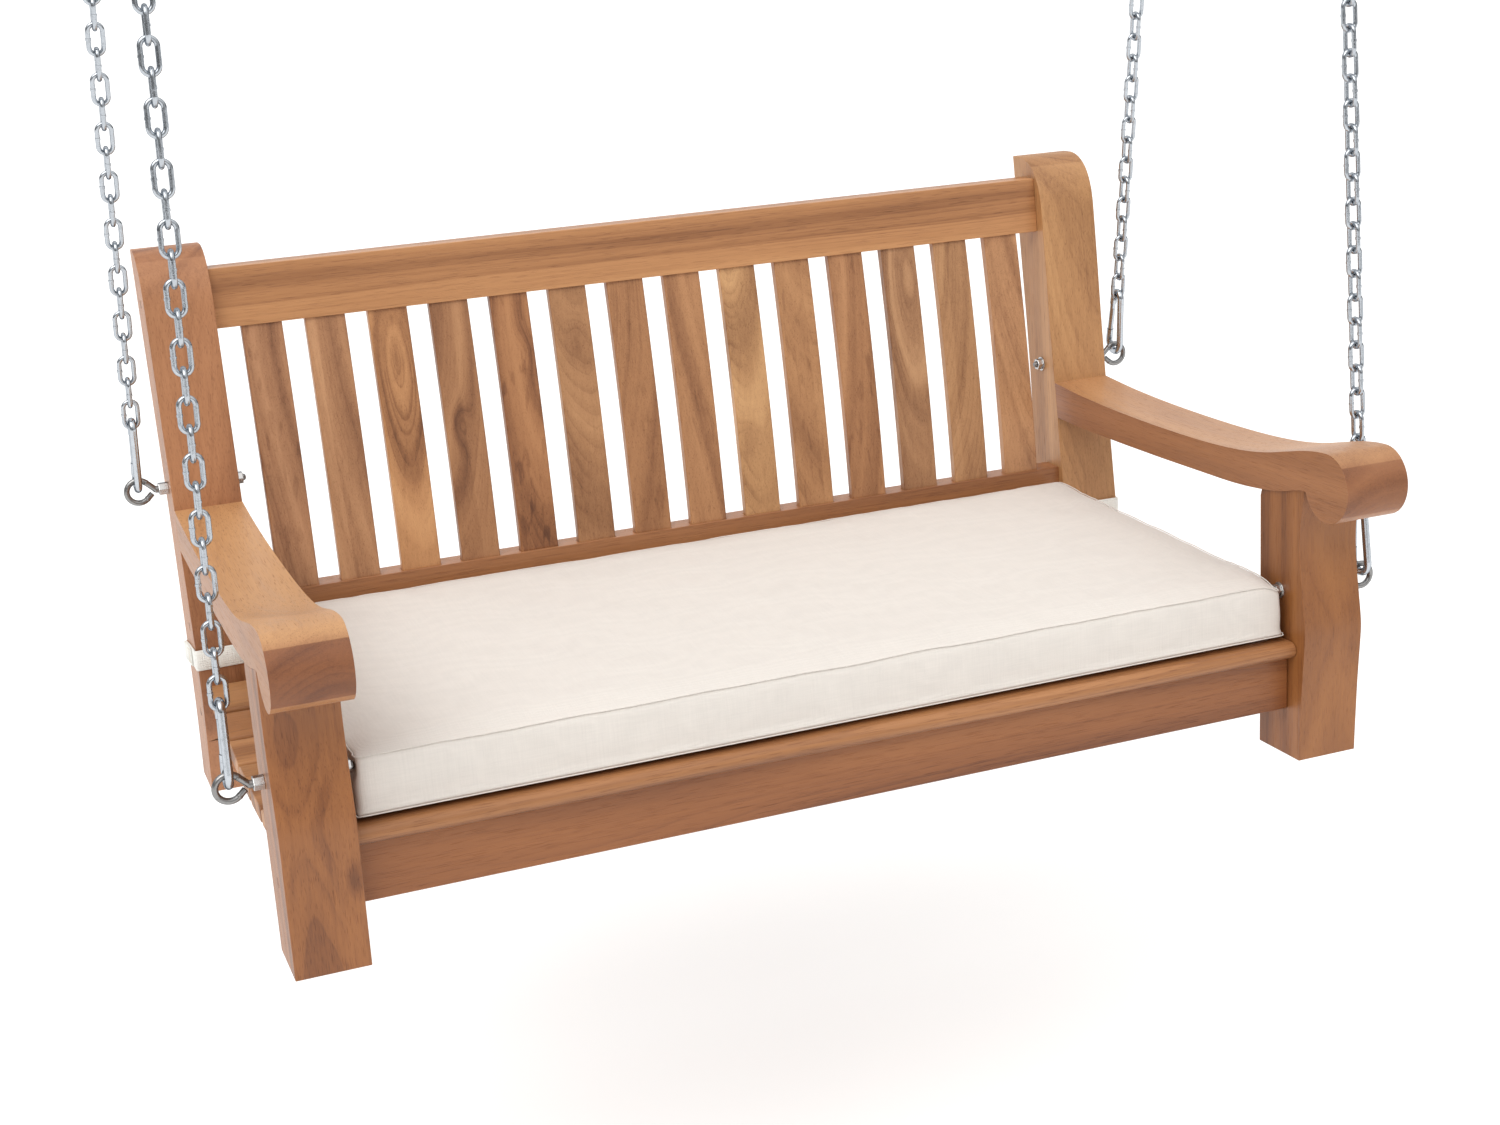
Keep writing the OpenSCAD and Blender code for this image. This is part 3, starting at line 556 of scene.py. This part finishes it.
def box_grid(hx, y0, y1, z0, z1, r, nx, ny, nz):
    """The six sides of a box as one quad mesh with rounded plan corners, and its lattice."""
    index, points, faces = {}, [], []

    def at(i, j, k):
        if (i, j, k) not in index:
            x, y = -hx + 2 * hx * i / nx, y0 + (y1 - y0) * j / ny
            cy, hy = (y0 + y1) / 2, (y1 - y0) / 2
            px = max(0, abs(x) - hx + r) / r
            py = max(0, abs(y - cy) - hy + r) / r
            if px > 0 and py > 0:
                qx, qy = px * math.sqrt(1 - py * py / 2), py * math.sqrt(1 - px * px / 2)
                x = math.copysign(hx - r + qx * r, x)
                y = cy + math.copysign(hy - r + qy * r, y - cy)
            index[i, j, k] = len(points)
            points.append((x, y, z0 + (z1 - z0) * k / nz))
        return index[i, j, k]

    for i in range(nx):
        for j in range(ny):
            faces.append((at(i, j, nz), at(i + 1, j, nz), at(i + 1, j + 1, nz), at(i, j + 1, nz)))
            faces.append((at(i, j, 0), at(i, j + 1, 0), at(i + 1, j + 1, 0), at(i + 1, j, 0)))
    for k in range(nz):
        for i in range(nx):
            faces.append((at(i, 0, k), at(i + 1, 0, k), at(i + 1, 0, k + 1), at(i, 0, k + 1)))
            faces.append((at(i + 1, ny, k), at(i, ny, k), at(i, ny, k + 1), at(i + 1, ny, k + 1)))
        for j in range(ny):
            faces.append((at(nx, j, k), at(nx, j + 1, k), at(nx, j + 1, k + 1), at(nx, j, k + 1)))
            faces.append((at(0, j + 1, k), at(0, j, k), at(0, j, k + 1), at(0, j + 1, k + 1)))
    ring = ([(i, 0) for i in range(nx)] + [(nx, j) for j in range(ny)]
            + [(i, ny) for i in range(nx, 0, -1)] + [(0, j) for j in range(ny, 0, -1)])
    return np.array(points), faces, [[index[i, j, k] for i, j in ring] for k in (nz, 0)]


def tube(name, path, radius, sides=8):
    """A round tube along path, a closed loop of points."""
    p = np.array(path, float)
    n = len(p)
    tangent = np.roll(p, -1, 0) - np.roll(p, 1, 0)
    tangent /= np.linalg.norm(tangent, axis=1)[:, None]
    upward = np.array((0, 0, 1.0))
    a = np.cross(tangent, upward)
    a /= np.linalg.norm(a, axis=1)[:, None]
    b = np.cross(a, tangent)
    verts, faces = [], []
    for i in range(n):
        for s in range(sides):
            t = 2 * math.pi * s / sides
            verts.append(p[i] + radius * (math.cos(t) * a[i] + math.sin(t) * b[i]))
    for i in range(n):
        j = (i + 1) % n
        for s in range(sides):
            t = (s + 1) % sides
            faces.append((i * sides + s, i * sides + t, j * sides + t, j * sides + s))
    return new_object(name, verts, faces)


def inflate(obj, pressure, frames=20):
    """Blows the cloth up for a few frames and returns where its points end."""
    c = obj.modifiers.new("cloth", "CLOTH")
    s = c.settings
    s.quality, s.mass = 5, 0.25
    s.tension_stiffness = s.compression_stiffness = 18
    s.shear_stiffness, s.bending_stiffness = 6, 0.4
    s.use_pressure, s.uniform_pressure_force = True, pressure
    s.effector_weights.gravity = 0
    c.point_cache.frame_start, c.point_cache.frame_end = 1, frames
    for f in range(1, frames + 1):
        scene.frame_set(f)
    e = obj.evaluated_get(bpy.context.evaluated_depsgraph_get())
    co = np.zeros(len(e.data.vertices) * 3)
    e.data.vertices.foreach_get("co", co)
    obj.modifiers.remove(c)
    scene.frame_set(1)
    return co.reshape(-1, 3)


def value_noise(p, seed):
    """Smooth noise from -1 to 1 at each row of p."""
    out = np.zeros(len(p))
    rng = np.random.default_rng(seed)
    for _ in range(10):
        k = rng.normal(size=3)
        k /= np.linalg.norm(k)
        out += np.sin(p @ k * rng.uniform(0.6, 1.7) * 2 * math.pi + rng.uniform(0, 6.28))
    return out / 3.5


def pad_caps(p0, h, side):
    """How far each point of the cover may move in all."""
    cap = np.full(len(p0), TOP_CAP)
    cap[side] = SIDE_CAP
    # below, the pad may only swell where the boards dip away from it
    y = p0[:, 1] + PAD_Y
    boards = SEAT_LOW + SEAT_DISH * (y - SEAT_MID) ** 2
    room = (PAD_Z + p0[:, 1] * math.tan(PAD_SLOPE)) - boards - 0.001
    room = np.where(y < NOSE_BACK, BELOW_LEAST, np.clip(room, BELOW_LEAST, BELOW_CAP))
    cap[h < 0.01] = room[h < 0.01]
    return cap


def settle_pad(p0, p1, u, v, h):
    """Caps the swelling from p0 to p1, then adds the lumps, dents and the lifted lower edge."""
    side = (h > 0.01) & (h < 0.99)
    cap = pad_caps(p0, h, side)
    move = p1 - p0
    size = np.linalg.norm(move, axis=1)
    soft = cap * np.tanh(size / np.maximum(cap, 1e-6)) / np.maximum(size, 1e-9)
    p1 = p0 + move * soft[:, None]
    # slight unevenness of a filled cover
    lumps = 0.0006 * value_noise(p0 * 9, 4) + 0.00025 * value_noise(p0 * 30, 5)
    lumps[h < 0.01] = 0
    sideways = np.stack([np.sign(p0[:, 0]) * (u > 0.96),
                         np.sign(p0[:, 1] - PAD_MID_Y) * (v > 0.96), 0 * h], 1)
    p1 += np.where(side[:, None], sideways, np.array((0, 0, 1.0))) * lumps[:, None]
    # the inner nuts of the front bolts press into the corners
    for s in (-1, 1):
        d = np.hypot((p1[:, 1] - NUT_Y) / NUT_RY, (p1[:, 2] - NUT_Z) / NUT_RZ)
        past = np.clip(np.abs(p1[:, 0]) - NUT_FACE, 0, 1)
        p1[:, 0] -= s * (past * np.exp(-d ** 4) * (p1[:, 0] * s > 0))
    # the front right corner sinks, which leaves its nut in view
    corner = np.hypot((PAD_HX - p0[:, 0]) / 0.014, (p0[:, 1] - PAD_Y0) / 0.030)
    p1[:, 2] -= 0.0085 * np.exp(-corner ** 2) * h
    # the back of the pad is a little fuller
    p1[:, 2] += 0.0045 * np.clip((p0[:, 1] - 0.15) / 0.36, 0, 1) * h
    # the lower edge is drawn up off the boards by its seam
    edge = np.minimum(PAD_HX - np.abs(p0[:, 0]),
                      np.minimum(p0[:, 1] - PAD_Y0, PAD_Y1 - p0[:, 1]))
    lift = np.clip(1 - edge / 0.03, 0, 1) ** 2 * np.clip(1 - h / 0.5, 0, 1)
    p1[:, 2] += 0.0048 * lift
    return p1


def make_cushion():
    canvas = canvas_material("canvas", linear(226, 219, 211))
    p0, faces, seams = box_grid(PAD_HX, PAD_Y0, PAD_Y1, PAD_Z0, PAD_Z1, PAD_CORNER, *PAD_CELLS)
    obj = link(new_object("seat_cushion", p0, faces), canvas)
    mesh = obj.data
    u = (p0[:, 0] / PAD_HX) ** 2
    v = ((p0[:, 1] - PAD_MID_Y) / PAD_HALF_Y) ** 2
    h = (p0[:, 2] - PAD_Z0) / PAD_TALL
    p1 = inflate(obj, 4.0)
    p1 = settle_pad(p0, p1, u, v, h)
    mesh.vertices.foreach_set("co", p1.ravel())
    mesh.update()
    mesh.transform(CUSHION)
    sub = obj.modifiers.new("smooth", "SUBSURF")
    sub.levels = sub.render_levels = 1
    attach(obj, "bench")
    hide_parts("cushion")
    for k, loop in enumerate(seams):
        path = p1[loop]
        outward = path - path.mean(0)
        outward[:, 2] = 0
        outward /= np.linalg.norm(outward, axis=1)[:, None]
        path = path + outward * 0.0001 + np.array((0, 0, -0.0003 if k == 0 else 0.0006))
        welt = tube(("cushion_seam_top", "cushion_seam_bottom")[k], path, WELT)
        link(welt, canvas)
        welt.data.transform(CUSHION)
        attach(welt, "bench")


# ------------------------------------------------------------------ straps
def band(name, path, z0, z1, thick, ease=0.0006):
    """A flat band standing on edge along an open plan path, with eased edges.

    path holds (x, y, lift, height as a part of z1 - z0).
    """
    p = np.array(path, float)
    t = np.gradient(p[:, :2], axis=0)
    t /= np.linalg.norm(t, axis=1)[:, None]
    nrm = np.stack([t[:, 1], -t[:, 0]], 1)
    h = thick / 2
    ring = [(-h, z0 + ease), (-h, z1 - ease), (-h + ease, z1), (h - ease, z1), (h, z1 - ease),
            (h, z0 + ease), (h - ease, z0), (-h + ease, z0)]
    verts, faces = [], []
    for i in range(len(p)):
        for d, z in ring:
            verts.append((p[i, 0] + nrm[i, 0] * d, p[i, 1] + nrm[i, 1] * d,
                          z0 + (z - z0) * p[i, 3] + p[i, 2]))
    k = len(ring)
    for i in range(len(p) - 1):
        for s in range(k):
            t = (s + 1) % k
            faces.append((i * k + s, i * k + t, (i + 1) * k + t, (i + 1) * k + s))
    faces.append(tuple(range(k))[::-1])
    faces.append(tuple((len(p) - 1) * k + s for s in range(k)))
    return new_object(name, verts, faces)


def round_path(corners, r, step=0.003):
    """Plan path through corners with rounded bends, in even steps."""
    pts = [Vector(c) for c in corners]
    line = [pts[0]]
    for a, b, c in zip(pts, pts[1:], pts[2:]):
        d0, d1 = (a - b).normalized(), (c - b).normalized()
        for k in range(7):
            f = k / 6
            line.append((b + d0 * r) * (1 - f) ** 2 + b * 2 * f * (1 - f) + (b + d1 * r) * f ** 2)
    line.append(pts[-1])
    out = [line[0]]
    for a, b in zip(line, line[1:]):
        n = max(1, int((b - a).length / step))
        out += [a + (b - a) * (k / n) for k in range(1, n + 1)]
    return out


STITCH, HALF_THREAD = 0.0032, 0.00035


def stitches(name, runs, mat, proud):
    """Short thread stitches: runs holds (start, end, outward normal) in the bench's frame."""
    verts, faces = [], []
    for a, b, nrm in runs:
        a, b, nrm = Vector(a), Vector(b), Vector(nrm)
        d = (b - a)
        n = max(1, int(round(d.length / STITCH)))
        across = d.normalized().cross(nrm) * HALF_THREAD
        for k in range(n):
            s, e = a + d * ((k + 0.12) / n), a + d * ((k + 0.88) / n)
            base = len(verts)
            for f, lift in ((0, 0), (0.25, proud), (0.75, proud), (1, 0)):
                c = s + (e - s) * f + nrm * lift
                verts += [c - across, c + across]
            for q in range(3):
                i = base + 2 * q
                faces.append((i, i + 2, i + 3, i + 1))
    return link(new_object(name, verts, faces), mat)


STRAP_DROP, POST_FRONT, POST_DEPTH = 0.010, 0.516, 0.087
# a strap's loop round its post: x inside and outside, y in front and behind
LOOP_X0, LOOP_X1, LOOP_Y0, LOOP_Y1 = 0.5225, 0.6015, 0.5142, 0.6030
INNER_RUN = 0.524
TAIL_X, TAIL_Y0, TAIL_Y1 = 0.6034, 0.5400, 0.5990
TAB = ((0.5112, 0.5160), (0.5150, 0.5168), (0.5190, 0.5178), (0.5216, 0.5178))
SEAM_X, SEAM_Y0, SEAM_Y1, SEAM_Z0, SEAM_Z1 = 0.60425, 0.5430, 0.5600, 0.1640, 0.1805


def strap_drop(y):
    """How far a strap has slid down at this depth, behind the post's front face."""
    return -STRAP_DROP * min(1, max(0, (y - POST_FRONT) / POST_DEPTH)) ** 1.5


def strap_path(s):
    """The loop: a little slack, slightly askew, and gathered under the back's lower rail."""
    loop = [(LOOP_X0, 0.5750), (LOOP_X0, LOOP_Y0), (LOOP_X1, LOOP_Y0), (LOOP_X1, LOOP_Y1),
            (LOOP_X0, LOOP_Y1), (LOOP_X0, 0.5710)]
    plan = round_path([(s * a, b) for a, b in loop], 0.004)
    n = len(plan)
    path = []
    for k, p in enumerate(plan):
        rise, fall = (min(1, max(0, t)) for t in ((p.y - 0.518) / 0.012, (0.581 - p.y) / 0.012))
        under = rise * rise * (3 - 2 * rise) * fall * fall * (3 - 2 * fall)
        under = under if abs(p.x) < INNER_RUN else 0
        # inside the post the strap comes back up quickly, to pass under the rail
        depth = p.y if abs(p.x) > INNER_RUN else 0.603 - (0.603 - p.y) * 3
        askew = 0.0008 * math.sin(6.28 * k / n + 0.6) * (1 - under)
        path.append((p.x + s * (0.0003 * math.sin(9 * k / n) - 0.0004 * under), p.y,
                     askew - 0.0003 * under + strap_drop(depth), 1 - 0.53 * under))
    return path


def strap_seam(s):
    """The runs of the box stitch with its cross, on the outer side of the tail."""
    a, b, c, d = ((s * SEAM_X, y, z + strap_drop(y)) for y, z in (
        (SEAM_Y0, SEAM_Z0), (SEAM_Y0, SEAM_Z1), (SEAM_Y1, SEAM_Z1), (SEAM_Y1, SEAM_Z0)))
    return [(*ends, (s, 0, 0)) for ends in ((a, b), (b, c), (c, d), (d, a), (a, c), (b, d))]


def make_straps():
    web = canvas_material("webbing", linear(244, 243, 236), pitch=0.0026, weave=0.9, slub=0.07,
                          sheen=0.15)
    thread, net, bsdf = new_material("thread", Roughness=0.7)
    c = net.noise(net.node("ShaderNodeTexCoord").outputs["Object"], 900, 2)
    net.put(bsdf.inputs["Base Color"], net.mix(c, linear(214, 196, 172), linear(238, 226, 206)))
    for side, s in (("left", -1), ("right", 1)):
        main = link(band(f"strap_band_{side}", strap_path(s), 0.1600, 0.1840, 0.0018), web)
        tail_plan = round_path([(s * TAIL_X, TAIL_Y0), (s * TAIL_X, TAIL_Y1)], 0.004)
        tail = link(band(f"strap_tail_{side}", [(p.x, p.y, strap_drop(p.y), 1) for p in tail_plan],
                         0.1606, 0.1834, 0.0016), web)
        tab = link(band(f"strap_tab_{side}", [(s * x, y, 0, 1) for x, y in TAB],
                        0.1610, 0.1830, 0.0018), web)
        seam = stitches(f"strap_stitches_{side}", strap_seam(s), thread, 0.00035)
        for o in (main, tail, tab, seam):
            o.data.transform(BENCH)
            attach(o, "bench")
        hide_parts(f"strap_{side}")


# ------------------------------------------------------------------ studio
FLOOR_Z, FLOOR_REACH = -0.42, 30
# name, direction toward the light, its width in degrees, strength
SUNS = (("key", (-0.60, -0.45, 1.0), 45, 1.35), ("fill", (0.8, -1.0, 0.65), 70, 0.36))


def make_stage():
    mat, net, bsdf = new_material("studio_floor", Specular_IOR_Level=0.2, Emission_Strength=0.50)
    p = net.node("ShaderNodeTexCoord").outputs["Object"]
    net.put(bsdf.inputs["Base Color"],
            net.mix(net.noise(p, 6, 3), (0.62, 0.62, 0.615), (0.64, 0.64, 0.635)))
    net.put(bsdf.inputs["Roughness"], net.math("MULTIPLY_ADD", net.noise(p, 40, 2), 0.1, 0.8))
    z, r = FLOOR_Z, FLOOR_REACH
    mesh = bpy.data.meshes.new("studio_floor")
    mesh.from_pydata([(-r, -r, z), (r, -r, z), (r, r, z), (-r, r, z)], [], [(0, 1, 2, 3)])
    link(bpy.data.objects.new("studio_floor", mesh), mat, smooth=False)

    world = bpy.data.worlds.new("studio")
    scene.world = world
    world.use_nodes = True
    net = Net(world.node_tree)
    world.node_tree.nodes.clear()
    out, mixer = net.node("ShaderNodeOutputWorld"), net.node("ShaderNodeMixShader")
    shown, light = net.node("ShaderNodeBackground"), net.node("ShaderNodeBackground")
    shown.inputs[0].default_value, shown.inputs[1].default_value = (1, 1, 1, 1), 1.0
    sep = net.node("ShaderNodeSeparateXYZ")
    net.put(sep.inputs[0], net.node("ShaderNodeTexCoord").outputs["Generated"])
    sky = net.ramp(net.math("MULTIPLY_ADD", sep.outputs[2], 0.5, 0.5), (0.0, 0.5),
                   (0.50, 0.12), (0.60, 0.22), (0.78, 0.92), (1.0, 1.60))
    # a white backdrop stands behind the seat
    behind = net.math("MULTIPLY", net.step(sep.outputs[1], 0.40, 0.90),
                      net.step(sep.outputs[2], 0.62, 0.10))
    net.put(light.inputs[0], net.math("MULTIPLY_ADD", behind, 1.5, sky))
    light.inputs[1].default_value = 0.80
    net.put(mixer.inputs[0], net.node("ShaderNodeLightPath").outputs["Is Camera Ray"])
    net.put(mixer.inputs[1], light.outputs[0])
    net.put(mixer.inputs[2], shown.outputs[0])
    net.put(out.inputs[0], mixer.outputs[0])
    for name, toward, angle, strength in SUNS:
        d = bpy.data.lights.new(name, "SUN")
        d.angle, d.energy = math.radians(angle), strength
        o = bpy.data.objects.new(name, d)
        scene.collection.objects.link(o)
        o.rotation_mode = "QUATERNION"
        o.rotation_quaternion = Vector(toward).to_track_quat("Z", "Y")


make_stage()
dress_wood()
dress_metal()
make_cushion()
make_straps()
